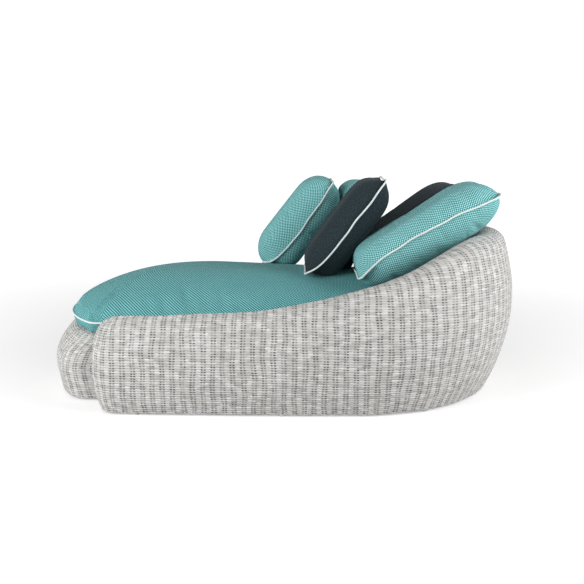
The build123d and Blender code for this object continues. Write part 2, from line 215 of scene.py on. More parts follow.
def woven_sheet(name, columns, rows, place, flip=False, wave=1.0):
    bm = bmesh.new()
    bmesh.ops.create_grid(bm, x_segments=columns, y_segments=rows, size=1)
    bm.verts.index_update()
    uv = []
    for vert in bm.verts:
        point, u, v = place((vert.co.x + 1) / 2, (vert.co.y + 1) / 2)
        vert.co = point
        uv.append((u, v))
    if flip:
        bmesh.ops.reverse_faces(bm, faces=bm.faces)
    bm.normal_update()
    normals = [vert.normal.copy() for vert in bm.verts]
    for vert, normal, (u, v) in zip(bm.verts, normals, uv):
        vert.co += normal * relief(u, v, wave)
    piece = put_in_scene(bm, name, uv)
    print(name, len(piece.data.polygons), "faces")
    return piece


# %% [markdown]
# ## The long wall
# The wall is one woven skin from the round end of the arm, round the back, to the far wing. It is cut
# into four sheets only to keep each below two hundred thousand triangles; their edges share the same
# points, so no joint shows.

# %% Wall sheets
WALL_PARTS = 4
WALL_COLUMNS, WALL_ROWS = ((108, 440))


def wall_place(start, end):
    sections = {}

    def place(across, up):
        key = round(across, 6)
        if key not in sections:
            at = mix(start, end, across)
            section = wall_section(min(max(read_table(rise_table, at), 0), 1))
            sections[key] = (at, section, sum(part[5] for part in section), foot_line(at))
        at, section, length, (foot, out) = sections[key]
        x, z = along(section, up * length)
        return foot + out * x + Vector((0, 0, z)), at, up * length

    return place


wall_sheets = []
for part in range(WALL_PARTS):
    start = mix(WALL_START, WALL_END, part / WALL_PARTS)
    end = mix(WALL_START, WALL_END, (part + 1) / WALL_PARTS)
    wall_sheets.append(woven_sheet(f"wall_weave_{part + 1}", WALL_COLUMNS, WALL_ROWS, wall_place(start, end)))

# %% [markdown]
# ## Round ends of the wall
# At the arm and at the wing the section stops and turns about its own middle. Spinning a curve would
# give the shape, but the strands have to go on without a step, so the sheet's own grid is bent round
# and keeps counting its strands from the same hem.


# %% Arm end and wing end
END_PATTERN_RADIUS = 0.11  # the weave's columns keep their width at this distance from the pivot


def end_section():
    roll, drop, middle = ROLL[0], SHOULDER_DROP[0], -ARM_WIDTH / 2
    shoulder = CROWN_HEIGHT[0] - drop
    radius = (roll**2 + drop**2) / (2 * drop)
    half = acos((radius - drop) / radius) / 2
    crest = (middle + radius * sin(half), shoulder + drop - radius + radius * cos(half))
    side = arc((0, FLOOR_GAP), (OUTER_SWELL[0], OUTER_SWELL_HEIGHT[0]), (middle + roll, shoulder))
    return [hem(0, 1), side, arc((middle + roll, shoulder), crest, (middle, shoulder + drop))]


def end_place(at, side):
    section = end_section()
    length = sum(part[5] for part in section)
    foot, out = foot_line(at)
    pivot = foot - out * ARM_WIDTH / 2
    along_wall = Vector((-out.y, out.x, 0)) * side

    def place(across, up):
        turn = across * pi
        x, z = along(section, up * length)
        reach = x + ARM_WIDTH / 2
        point = pivot + (out * cos(turn) + along_wall * sin(turn)) * reach + Vector((0, 0, z))
        return point, at + side * turn * END_PATTERN_RADIUS, up * length

    return place


END_COLUMNS, END_ROWS = ((60, 240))
arm_end = woven_sheet("arm_end_weave_sheet", END_COLUMNS, END_ROWS, end_place(WALL_START, -1), flip=True)
wing_end = woven_sheet("wing_end_weave_sheet", END_COLUMNS, END_ROWS, end_place(WALL_END, 1))

# %% [markdown]
# ## Plan of the platform and of the seat
# Both are two circles, a wide one at the nose and a smaller one at the back, joined by straight sides.
# The same number of points on each run lets rings of different size be laid over each other, which
# makes the swelling side of the platform and the crown of the cushion.


# %% A ring of the plan, with outward directions
def plan_ring(nose, back, corner, shift, counts):
    back_x = BACK_CENTER + shift
    lean = asin((nose - back) / (back_x - NOSE_CENTER))
    reach = sqrt((nose - corner) ** 2 - (back - corner) ** 2)
    join = pi + atan2(back - corner, reach)
    runs = [((NOSE_CENTER, 0), nose, pi / 2 - lean, join),
            ((NOSE_CENTER - reach, corner - back), corner, join, 1.5 * pi)]
    ring = []
    for ((cx, cy), radius, start, end), count in zip(runs, counts[:2]):
        for k in range(count):
            angle = mix(start, end, k / count)
            ring.append((cx + radius * cos(angle), cy + radius * sin(angle), cos(angle), sin(angle)))
    for k in range(counts[2]):
        ring.append((mix(NOSE_CENTER - reach, back_x, k / counts[2]), -back, 0.0, -1.0))
    for k in range(counts[3]):
        angle = mix(-pi / 2, pi / 2 - lean, k / counts[3])
        ring.append((back_x + back * cos(angle), back * sin(angle), cos(angle), sin(angle)))
    ahead = Vector((back_x + back * sin(lean), back * cos(lean)))
    nose_side = Vector((NOSE_CENTER + nose * sin(lean), nose * cos(lean)))
    for k in range(counts[4]):
        point = ahead.lerp(nose_side, k / counts[4])
        ring.append((point.x, point.y, sin(lean), cos(lean)))
    return ring


def lengths_round(ring):
    total, found = 0.0, [0.0]
    for (ax, ay, _, _), (bx, by, _, _) in zip(ring, ring[1:] + ring[:1]):
        total += hypot(bx - ax, by - ay)
        found.append(total)
    return found


# %% [markdown]
# ## Platform weave
# The platform's side starts under the tube, swells out at the nose and turns over onto the deck. The
# profile is read as a smooth line through a few heights, and each height is one ring of the plan.

# %% Platform sheets
PLATFORM_HEIGHT = 0.300
PLATFORM_NOSE, PLATFORM_BACK, PLATFORM_CORNER = 0.683, 0.400, 0.110
LEAST_CORNER = 0.012
SWELL = 0.022  # how far the nose swells out for a swell of 1
SIDE_STEPS, SIDE_SHARE = 24, 0.93
TURN_OVER = [(0.012, 0.289), (0.026, 0.2955), (0.045, 0.2985), (0.070, 0.2995), (0.092, 0.2995)]
PROFILE_COLUMN = 60  # a place on the nose, where the way up the side is measured
swell_table = [(0.0, 0.0), (0.22, 0.6), (0.38, 1.0), (0.55, 0.9), (0.76, -0.3), (SIDE_SHARE, -2.0)]
profile = [(2 * HEM, FLOOR_GAP + 0.4 * HEM, 0.0), (HEM, FLOOR_GAP - HEM, 0.0), (0.0, FLOOR_GAP, 0.0)]
for k in range(1, SIDE_STEPS + 1):
    share = SIDE_SHARE * k / SIDE_STEPS
    profile.append((0.0, mix(FLOOR_GAP, PLATFORM_HEIGHT, share), read_table(swell_table, share)))
for inset, height in TURN_OVER:
    profile.append((inset, height, swell_table[-1][1]))


def platform_ring(inset, swell, counts):
    nose = PLATFORM_NOSE + swell * SWELL - inset
    corner = max(PLATFORM_CORNER - inset, LEAST_CORNER)
    return plan_ring(nose, PLATFORM_BACK - inset, corner, 0, counts)


PLATFORM_COUNTS = ((270, 28, 100, 110, 90))
PLATFORM_ROWS = 120
rings = [platform_ring(inset, swell, PLATFORM_COUNTS) for inset, _, swell in profile]
round_lengths = lengths_round(rings[8])
reach_up = [0.0]
for (a, b), (pa, pb) in zip(zip(rings, rings[1:]), zip(profile, profile[1:])):
    (ax, ay, _, _), (bx, by, _, _) = a[PROFILE_COLUMN], b[PROFILE_COLUMN]
    reach_up.append(reach_up[-1] + hypot(hypot(bx - ax, by - ay), pb[1] - pa[1]))


def platform_place(start, end):
    def place(across, up):
        column = round(mix(start, end, across))
        at = up * reach_up[-1]
        low = next((i for i in range(len(reach_up) - 1) if at <= reach_up[i + 1]), len(reach_up) - 2)
        share = (at - reach_up[low]) / (reach_up[low + 1] - reach_up[low])
        a, b = rings[low][column % len(rings[low])], rings[low + 1][column % len(rings[low])]
        height = mix(profile[low][1], profile[low + 1][1], share)
        return Vector((mix(a[0], b[0], share), mix(a[1], b[1], share), height)), -round_lengths[column], at

    return place


platform_sheets = []
columns_round = sum(PLATFORM_COUNTS)
for part in range(2):
    start, end = columns_round * part // 2, columns_round * (part + 1) // 2
    form = platform_place(start, end)
    sheet = woven_sheet(f"platform_weave_sheet_{part + 1}", end - start, PLATFORM_ROWS, form, wave=0.6)
    platform_sheets.append(sheet)

# %% [markdown]
# ## Cushions
# A loose cushion is two panels sewn round the edge and stuffed. It stands crowned in the middle, its
# sides draw in between the corners, and the cloth ripples near the seam. The panels are laid out as a
# grid, welded along the seam, and then blown up for a moment as cloth with the seam held fast, which
# gives creases that no formula has.


# %% Blowing up a cushion as cloth
def puff(piece, held, pressure, most):
    start = [vert.co.copy() for vert in piece.data.vertices]
    group = piece.vertex_groups.new(name="seam")
    for index, weight in held.items():
        group.add([index], weight, "REPLACE")
    cloth = piece.modifiers.new("cloth", "CLOTH")
    settings = cloth.settings
    settings.quality = 5
    settings.mass = 0.3
    settings.tension_stiffness = settings.compression_stiffness = 12
    settings.bending_stiffness = 0.4
    settings.shrink_min = -0.03
    settings.use_pressure = True
    settings.uniform_pressure_force = pressure
    settings.effector_weights.gravity = 0
    settings.vertex_group_mass = "seam"
    cloth.collision_settings.use_collision = False
    scene = bpy.context.scene
    for step in range(1, 21):
        scene.frame_set(step)
    blown = piece.evaluated_get(bpy.context.evaluated_depsgraph_get()).data
    moved = 0.0
    for vert, before, after in zip(piece.data.vertices, start, blown.vertices):
        shift = after.co - before
        moved = max(moved, shift.length)
        if shift.length > most:
            shift *= most / shift.length
        vert.co = before + shift
    piece.modifiers.remove(cloth)
    piece.vertex_groups.clear()
    scene.frame_set(1)
    print(piece.name, "moved up to", round(moved * 1000), "mm, kept to", round(most * 1000))


# %% [markdown]
# ## Piping
# Piping is a thin cord sewn into the seam. A curve with a round bevel follows the seam's points, which
# keeps it one smooth cord all the way round.

# %% A cord along a seam
def cord_round(name, points, radius):
    curve = bpy.data.curves.new(name, "CURVE")
    curve.dimensions = "3D"
    curve.bevel_depth = radius
    curve.bevel_resolution = 3
    curve.resolution_u = 2
    spline = curve.splines.new("NURBS")
    spline.points.add(len(points) - 1)
    for point, co in zip(spline.points, points):
        point.co = (*co, 1)
    spline.use_cyclic_u = True
    spline.order_u = 3
    piece = bpy.data.objects.new(name, curve)
    bpy.context.scene.collection.objects.link(piece)
    return piece


# %% [markdown]
# ## Seat cushion
# The seat cushion is one thick pad with a crown. Its top panel is drawn over the edge to a seam low on
# the side. A grid is wrapped round the rings of the plan, from the underside to the crown, its two edges
# are welded, and the two holes left in the middle are filled. The cloth then swells a little, held at
# the seam.

# %% Seat rings
SEAT_FLOOR = PLATFORM_HEIGHT + 0.0003
SEAT_BELOW, SEAT_ABOVE = 0.056, 0.164  # height of the seam, and of the crown over the seam
SEAT_SEAM = SEAT_FLOOR + SEAT_BELOW
SEAT_NOSE, SEAT_BACK, SEAT_CORNER, SEAT_SHIFT = 0.620, 0.420, 0.060, 0.050
FOOT_DRAW, CROWN_DRAW, CROWN_POWER = 0.034, 0.390, 1.45
UNDER_DRAWS = (CROWN_DRAW, 0.28, 0.2, 0.12, 0.07)
CORD_RADIUS, CORD_OFF = 0.004, 0.0035
SEAT_COUNTS = ((150, 14, 88, 100, 78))


def seat_ring(inset):
    corner = SEAT_CORNER * (1 - inset / SEAT_BACK)
    return plan_ring(SEAT_NOSE - inset, SEAT_BACK - inset, corner, SEAT_SHIFT, SEAT_COUNTS)


seat_levels = []
for angle in (0, 20, 40, 60, 80):
    tilt = radians(angle)
    seat_levels.append((FOOT_DRAW * (1 - sin(tilt)), SEAT_SEAM - SEAT_BELOW * cos(tilt)))
crown_steps = 28
for step in range(crown_steps + 1):
    share = (step / crown_steps) ** 1.6
    rise = (1 - (1 - share) ** CROWN_POWER) ** (1 / CROWN_POWER)
    seat_levels.append((CROWN_DRAW * share, SEAT_SEAM + SEAT_ABOVE * rise))
under_levels = [(inset, SEAT_FLOOR) for inset in UNDER_DRAWS]
levels = under_levels + seat_levels
seat_rings = [seat_ring(inset) for inset, _ in levels]
crown_ring = seat_ring(CROWN_DRAW)
reach = [0.0]
for (a, za), (b, zb) in zip(levels, levels[1:]):
    reach.append(reach[-1] + hypot(b - a, zb - za))
held_rows = set(range(len(under_levels) + 1))
held_rows |= {row for row, (_, height) in enumerate(levels) if abs(height - SEAT_SEAM) < 1e-6}

bm = bmesh.new()
columns, rows = len(crown_ring), len(levels) - 1
bmesh.ops.create_grid(bm, x_segments=columns, y_segments=rows, size=1)
threads, row_of = {}, {}
for vert in bm.verts:
    column, row = round((vert.co.x + 1) / 2 * columns) % columns, round((vert.co.y + 1) / 2 * rows)
    x, y, _, _ = seat_rings[row][column]
    cx, cy, nx, ny = crown_ring[column]
    off_crown = reach[-1] - reach[row]
    threads[vert], row_of[vert] = (cx + nx * off_crown, cy + ny * off_crown), row
    vert.co = (x, y, levels[row][1])
bmesh.ops.remove_doubles(bm, verts=bm.verts, dist=0.00002)
caps = bmesh.ops.holes_fill(bm, edges=bm.edges)["faces"]
bmesh.ops.triangulate(bm, faces=caps)
bmesh.ops.recalc_face_normals(bm, faces=bm.faces)
bm.verts.index_update()
seat_uv = [threads[vert] for vert in bm.verts]
held = {vert.index: 1.0 for vert in bm.verts if row_of[vert] in held_rows}
seat = put_in_scene(bm, "seat_cushion_cover_cloth", seat_uv)
puff(seat, held, 3, 0.010)
for polygon in seat.data.polygons:
    polygon.use_smooth = True
seat_seam = [Vector((x + nx * CORD_OFF, y + ny * CORD_OFF, SEAT_SEAM)) for x, y, nx, ny in seat_ring(0)]
seat_piping = cord_round("seat_cushion_piping_cord", seat_seam, CORD_RADIUS)
print("seat cushion", len(seat.data.polygons), "faces")

# %% [markdown]
# The seat's zip closes the cover behind, below the seam, where nobody sees it. Its tape follows the
# cover, so each point of a small grid is thrown onto the cloth from outside.

# %% Seat zip
ZIP_WIDTH, TAPE_LIFT = 0.012, 0.0012
SEAT_ZIP_HEIGHT, SEAT_ZIP_LENGTH, SEAT_ZIP_TURN = 0.036, 0.52, 1.30
bpy.context.view_layer.update()
seat_tree = BVHTree.FromObject(seat, bpy.context.evaluated_depsgraph_get())
bm = bmesh.new()
bmesh.ops.create_grid(bm, x_segments=70, y_segments=4, size=0.5)
bm.verts.index_update()
zip_uv = []
for vert in bm.verts:
    turn = vert.co.x * SEAT_ZIP_TURN
    height = SEAT_FLOOR + SEAT_ZIP_HEIGHT + vert.co.y * ZIP_WIDTH
    zip_uv.append((vert.co.x * SEAT_ZIP_LENGTH, vert.co.y * ZIP_WIDTH))
    ray = Vector((-cos(turn), -sin(turn), 0))
    start = Vector((BACK_CENTER + SEAT_SHIFT, 0, height)) - ray * 0.7
    hit, normal, _, _ = seat_tree.ray_cast(start, ray)
    vert.co = hit + normal * TAPE_LIFT
seat_zip = put_in_scene(bm, "seat_cushion_zip_tape", zip_uv)

# %% [markdown]
# ## Back cushions
# A back cushion is laid out flat, one panel over the other. Its stuffing has sunk a little, so the
# lower half is fuller than the upper one, and where one panel is fuller than the other the seam bows.

# %% A back cushion in its own flat frame
SIDE_DRAW, CORNER_PULL = 0.014, 0.085
RIPPLE_HEIGHT, RIPPLES = 0.006, 11  # ripples for each metre of seam
LEAST_FLAT, FULL_FLAT = 0.5, 0.22  # how far the fullness reaches towards the seam, and more so below


def seam_point(a, b, shape):
    pull = 1 - CORNER_PULL * abs(a * b) ** 6
    x = a * (shape["width"] / 2 - SIDE_DRAW * (1 - b * b)) * pull
    y = b * (shape["height"] / 2 - SIDE_DRAW * (1 - a * a)) * pull
    toe = shape["toe"] * (max(-b - 0.5, 0) / 0.5) ** 2
    ripple = RIPPLE_HEIGHT * noise.noise(Vector((x * RIPPLES, y * RIPPLES, shape["height"] * 20)))
    rise = shape["bow"] * (1 - b * b) * (1 - 0.5 * b) + toe + ripple
    return Vector((x, y + shape["height"] / 2 - toe / tan(radians(shape["lean"])), rise))


def crown_share(a, b):
    level = LEAST_FLAT + FULL_FLAT * max(-b, 0)
    r = min((abs(a) ** 5 + abs(b) ** 5) ** 0.2, 1)
    return 1.0 if r < level else sqrt(max(1 - ((r - level) / (1 - level)) ** 2, 0))


def face_point(a, b, shape, under):
    point = seam_point(a, b, shape)
    half = shape["thickness"] / 2
    if under:
        side = -half - shape["sag"] * max(min(0.5 - 2 * a, 1), 0) * max(min(0.4 - b, 1), 0)
    else:
        side = half + shape["head"] * max(min(2 * b, 1), 0)
    point.z = mix(point.z, side, crown_share(a, b))
    return point


# %% [markdown]
# The cloth keeps its thread count where it turns over the sides, so its pattern is laid by the way that
# a thread runs over the cushion and not by the flat place.

# %% Threads over a cushion, and its two panels
THREAD_STEPS = 12


def thread_length(a, b, shape, under, along_width):
    total, before = 0.0, None
    for k in range(THREAD_STEPS + 1):
        share = k / THREAD_STEPS
        spot = (a * share, b) if along_width else (a, b * share)
        point = face_point(*spot, shape, under)
        total += (point - before).length if before else 0.0
        before = point
    return total if (a if along_width else b) > 0 else -total


def make_pillow(shape, step):
    bm = bmesh.new()
    columns, rows = round(shape["width"] / step), round(shape["height"] / step)
    bmesh.ops.create_grid(bm, x_segments=columns, y_segments=rows, size=1)
    top = list(bm.faces)
    copy = bmesh.ops.duplicate(bm, geom=list(bm.verts) + list(bm.edges) + top)
    under_faces = [item for item in copy["geom"] if isinstance(item, bmesh.types.BMFace)]
    below = {item for item in copy["geom"] if isinstance(item, bmesh.types.BMVert)}
    bmesh.ops.reverse_faces(bm, faces=under_faces)
    threads, spots = {}, {}
    for vert in bm.verts:
        a, b, under = vert.co.x, vert.co.y, vert in below
        threads[vert] = tuple(thread_length(a, b, shape, under, way) for way in (True, False))
        spots[vert] = face_point(a, b, shape, under)
    layer = bm.loops.layers.uv.new("weave")
    for face in bm.faces:
        for loop in face.loops:
            loop[layer].uv = threads[loop.vert]
    for vert, spot in spots.items():
        vert.co = spot
    bmesh.ops.remove_doubles(bm, verts=bm.verts, dist=0.00002)
    bmesh.ops.recalc_face_normals(bm, faces=bm.faces)
    return bm


# %% [markdown]
# The five back cushions lean on the wall and on each other. Each is made flat, then stood up: its
# lower edge gets a place on the seat, and it leans and turns as the photograph shows. The places are
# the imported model's own, so a cushion lies in the space of its solid. Only the middle one stands 18 mm
# nearer the back, and the far one's head swells out to fill the gap beside the front one.

# %% Sizes and places of the back cushions
CUSHIONS = {
    "front": {"width": 0.400, "height": 0.540, "thickness": 0.205, "lean": 52, "turn": 0,
              "place": (-0.080, 0.385), "bow": -0.020, "toe": 0.020, "sag": 0.018, "head": 0.0,
              "cloth": "aqua_cloth"},
    "far": {"width": 0.390, "height": 0.530, "thickness": 0.146, "lean": 54, "turn": 3,
            "place": (0.171, 0.372), "bow": 0.0, "toe": 0.0, "sag": 0.0, "head": 0.075,
            "cloth": "aqua_cloth"},
    "middle": {"width": 0.370, "height": 0.550, "thickness": 0.205, "lean": 53, "turn": 0,
               "place": (0.143, -0.022), "bow": 0.0, "toe": 0.034, "sag": 0.050, "head": 0.0,
               "cloth": "charcoal_cloth"},
    "rear": {"width": 0.450, "height": 0.640, "thickness": 0.190, "lean": 35, "turn": 8,
             "place": (0.395, 0.225), "bow": 0.0, "toe": 0.0, "sag": 0.0, "head": 0.0,
             "cloth": "charcoal_cloth"},
    "near": {"width": 0.396, "height": 0.730, "thickness": 0.184, "lean": 31, "turn": 0,
             "place": (0.328, -0.192), "bow": 0.035, "toe": 0.0, "sag": 0.0, "head": 0.010,
             "cloth": "aqua_cloth"},
}


def stand_up(lean, turn, place, height):
    tilt, yaw = radians(lean), radians(turn)
    across = Vector((sin(yaw), -cos(yaw), 0))
    up = Vector((cos(tilt) * cos(yaw), cos(tilt) * sin(yaw), sin(tilt)))
    out = Vector((-sin(tilt) * cos(yaw), -sin(tilt) * sin(yaw), cos(tilt)))
    origin = Vector((*place, height))
    return lambda p: origin + across * p[0] + up * p[1] + out * p[2]


def lay_on(points, under, gap):
    for point in points:
        hit = under.ray_cast(Vector((point.x, point.y, 0.9)), Vector((0, 0, -1)))[0]
        if hit and point.z < hit.z + gap:
            point.z = hit.z + gap


# %% [markdown]
# The zip's tape is a small grid thrown onto the underside of the blown-up cover. Where a cover or its
# cord would reach into the seat, it is laid on the seat instead, as a heavy cushion flattens there.

# %% Pillow covers and their zips
def zip_on(name, cover, height, length, width, stood):
    tree = BVHTree.FromObject(cover, bpy.context.evaluated_depsgraph_get())
    bm = bmesh.new()
    bmesh.ops.create_grid(bm, x_segments=60, y_segments=4, size=0.5)
    bm.verts.index_update()
    uv = []
    into = stood(Vector((0, 0, 1))) - stood(Vector((0, 0, 0)))
    for vert in bm.verts:
        x, y = vert.co.x * length, height + vert.co.y * width
        uv.append((x, vert.co.y * width))
        hit, normal, _, _ = tree.ray_cast(stood(Vector((x, y, -0.4))), into)
        vert.co = hit + normal * TAPE_LIFT
    bmesh.ops.reverse_faces(bm, faces=bm.faces)
    return put_in_scene(bm, name, uv)


PILLOW_STEP = 0.0105
SEAM_STEPS = 48
SEAM_HOLD = 0.006  # cloth this close to the seam is held while the cushion is blown up
COVER_GAP, CORD_GAP = 0.001, 0.005
ZIP_PLACE_SHARE, ZIP_LENGTH_SHARE = 0.11, 0.68
covers, pipings, zips = {}, {}, {}
for name, shape in CUSHIONS.items():
    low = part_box(f"{name}_cushion_piping")[0]
    tilt = radians(shape["lean"])
    base = low[2] + CORD_RADIUS * cos(tilt) + (CORD_RADIUS + 0.0003) * sin(tilt)
    stood = stand_up(shape["lean"], shape["turn"], shape["place"], base)
    cover = put_in_scene(make_pillow(shape, PILLOW_STEP), f"{name}_cushion_cover_cloth")
    seam_points = []
    for k in range(4 * SEAM_STEPS):
        side, t = divmod(k, SEAM_STEPS)
        t = -1 + 2 * t / SEAM_STEPS
        a, b = [(t, -1), (1, t), (-t, 1), (-1, -t)][side]
        seam_points.append(seam_point(a, b, shape))
    seam_tree = KDTree(len(seam_points))
    for index, point in enumerate(seam_points):
        seam_tree.insert(point, index)
    seam_tree.balance()
    rim = {vert.index: 1.0 for vert in cover.data.vertices if seam_tree.find(vert.co)[2] < SEAM_HOLD}
    puff(cover, rim, 4, 0.012)
    middle = Vector((0, shape["height"] / 2, 0))
    cord = []
    for point in seam_points:
        off = point - middle
        off.z = 0
        cord.append(stood(point + off.normalized() * CORD_OFF))
    for vert in cover.data.vertices:
        vert.co = stood(vert.co)
    lay_on([vert.co for vert in cover.data.vertices], seat_tree, COVER_GAP)
    lay_on(cord, seat_tree, CORD_GAP)
    for polygon in cover.data.polygons:
        polygon.use_smooth = True
    covers[name] = cover
    pipings[name] = cord_round(f"{name}_cushion_piping_cord", cord, CORD_RADIUS)
    bpy.context.view_layer.update()
    tape = (shape["height"] * ZIP_PLACE_SHARE, shape["width"] * ZIP_LENGTH_SHARE, ZIP_WIDTH)
    zips[name] = zip_on(f"{name}_cushion_zip_tape", cover, *tape, stood)
print("cushions", list(covers))

# %% [markdown]
# ## Finishes
# Every finish is built from nodes. Colours are written as the hex values of an sRGB picker and turned
# to linear light once, and one function adds a node with its settings and links.


# %% Colour and node helpers
def linear(code):
    values = [int(code[i:i + 2], 16) / 255 for i in (0, 2, 4)]
    return tuple(v / 12.92 if v <= 0.04045 else ((v + 0.055) / 1.055) ** 2.4 for v in values) + (1.0,)


def add_node(tree, kind, inputs=None, **settings):
    node = tree.nodes.new("ShaderNode" + kind)
    for key, value in settings.items():
        setattr(node, key, value)
    for socket, value in (inputs or {}).items():
        if isinstance(value, bpy.types.Node):
            value = value.outputs[0]
        if isinstance(value, bpy.types.NodeSocket):
            tree.links.new(value, node.inputs[socket])
        else:
            node.inputs[socket].default_value = value
    return node


def new_finish(name, roughness, metallic=0.0):
    finish = bpy.data.materials.new(name)
    finish.use_nodes = True
    shader = finish.node_tree.nodes["Principled BSDF"]
    shader.inputs["Roughness"].default_value = roughness
    shader.inputs["Metallic"].default_value = metallic
    return finish, finish.node_tree, shader


# %% [markdown]
# ### Woven polyethylene strand
# The strands are extruded polyethylene in white and grey, brushed lengthwise. A strand changes tone along its
# run. Between two strands small slots show, 14 mm apart, painted near black: painted shade, the dark seen
# through the gaps of the weave. Three slots make a band of 42 mm that stands out as an upright column, and
# the band is painted a little darker as shade in the sunken column. The tones come from a random value for
# each short run of a strand, the slots from two waves, one across the strands and one along them, and a noise
# lets the columns sway as hand weaving does.


# %% Woven strand finish
def strand_finish(name, source):
    finish, tree, shader = new_finish(name, 0.62)
    shader.inputs["IOR"].default_value = 1.5
    place = add_node(tree, "SeparateXYZ", {0: source(tree)})
    sway = add_node(tree, "TexNoise", {"Vector": source(tree), "Scale": 6.0, "Detail": 2.0})
    swayed = add_node(tree, "Math", {0: sway.outputs[0], 1: 0.03, 2: place.outputs[0]},
                      operation="MULTIPLY_ADD")
    across = add_node(tree, "Math", {0: swayed, 1: SLOT}, operation="DIVIDE")
    up = add_node(tree, "Math", {0: place.outputs[1], 1: STRAND}, operation="DIVIDE")
    row = add_node(tree, "Math", {0: up}, operation="FLOOR")
    turn = add_node(tree, "Math", {0: up, 1: pi}, operation="MULTIPLY")
    wave = add_node(tree, "Math", {0: turn}, operation="SINE")
    strand = add_node(tree, "Math", {0: wave}, operation="ABSOLUTE")
    post_turn = add_node(tree, "Math", {0: across, 1: pi}, operation="MULTIPLY")
    post_wave = add_node(tree, "Math", {0: post_turn}, operation="COSINE")
    post = add_node(tree, "Math", {0: post_wave}, operation="ABSOLUTE")
    band_turn = add_node(tree, "Math", {0: across, 1: pi * 2 / 3, 2: -pi / 3}, operation="MULTIPLY_ADD")
    band = add_node(tree, "Math", {0: band_turn}, operation="COSINE")

    run = add_node(tree, "Math", {0: row, 1: 0.37}, operation="MULTIPLY")
    run_at = add_node(tree, "Math", {0: across, 1: 0.4, 2: run}, operation="MULTIPLY_ADD")
    run_floor = add_node(tree, "Math", {0: run_at}, operation="FLOOR")
    cell = add_node(tree, "CombineXYZ", {0: run_floor, 1: row})
    toss = add_node(tree, "TexWhiteNoise", {"Vector": cell}, noise_dimensions="3D")
    tone = add_node(tree, "ValToRGB", {0: toss.outputs[0]})
    stops = tone.color_ramp.elements
    stops[0].position, stops[0].color = 0.0, linear("a6a5a3")
    stops[1].position, stops[1].color = 1.0, linear("cccbc9")
    for position, code in ((0.2, "b2b1ae"), (0.5, "bab9b6"), (0.8, "c1c0be")):
        stop = stops.new(position)
        stop.color = linear(code)

    stretch = add_node(tree, "CombineXYZ", {0: place.outputs[0], 1: up})
    streak_map = add_node(tree, "Mapping", {"Vector": stretch, "Scale": (30.0, 2.2, 1.0)})
    streak = add_node(tree, "TexNoise", {"Vector": streak_map, "Scale": 1.0, "Detail": 3.0, "Roughness": 0.6})
    streak_tone = add_node(tree, "MapRange", {0: streak.outputs[0], 1: 0.3, 2: 0.7, 3: 0.86, 4: 1.12})
    # Painted shade: the band of slots is made a little darker, as shade in the sunken column.
    painted_band_shade = add_node(tree, "MapRange", {0: band, 1: -1.0, 2: 1.0, 3: 1.04, 4: 0.92})
    shade = add_node(tree, "Math", {0: streak_tone, 1: painted_band_shade}, operation="MULTIPLY")
    toned = add_node(tree, "VectorMath", {0: tone.outputs[0], 3: shade}, operation="SCALE")

    # Painted shade: the slots between strands are painted near black, the shade seen through the gaps of the
    # weave.
    edge = add_node(tree, "MapRange", {0: strand, 1: 0.4, 2: 0.95, 3: 1.0, 4: 0.0})
    beside = add_node(tree, "MapRange", {0: post, 1: 0.35, 2: 0.8, 3: 0.1, 4: 1.0})
    in_band = add_node(tree, "MapRange", {0: band, 1: -0.9, 2: 0.3, 3: 0.15, 4: 1.0})
    chance = add_node(tree, "TexNoise", {"Vector": source(tree), "Scale": 34.0, "Detail": 1.0})
    chance_tone = add_node(tree, "MapRange", {0: chance.outputs[0], 1: 0.35, 2: 0.6, 3: 0.4, 4: 1.0})
    slot_row = add_node(tree, "Math", {0: edge, 1: beside}, operation="MULTIPLY")
    slot_band = add_node(tree, "Math", {0: slot_row, 1: in_band}, operation="MULTIPLY")
    painted_slot_shade = add_node(tree, "Math", {0: slot_band, 1: chance_tone}, operation="MULTIPLY")
    colour = add_node(tree, "Mix", {0: painted_slot_shade, 6: toned, 7: linear("1c1b18")}, data_type="RGBA")
    tree.links.new(colour.outputs[2], shader.inputs["Base Color"])

    lift = add_node(tree, "Math", {0: band, 1: -0.3, 2: 1.0}, operation="MULTIPLY_ADD")
    height = add_node(tree, "Math", {0: strand, 1: lift}, operation="MULTIPLY")
    rib = add_node(tree, "Math", {0: streak.outputs[0], 1: 0.35, 2: height}, operation="MULTIPLY_ADD")
    bump = add_node(tree, "Bump", {"Height": rib, "Distance": 0.0022, "Strength": 0.55})
    tree.links.new(bump.outputs[0], shader.inputs["Normal"])
    return finish


def from_uv(tree):
    return add_node(tree, "UVMap", uv_map="weave")


def from_object(tree):
    return add_node(tree, "TexCoord").outputs["Object"]


woven_strand = strand_finish("woven_polyethylene_strand", from_uv)
woven_deck = strand_finish("woven_polyethylene_deck", from_object)
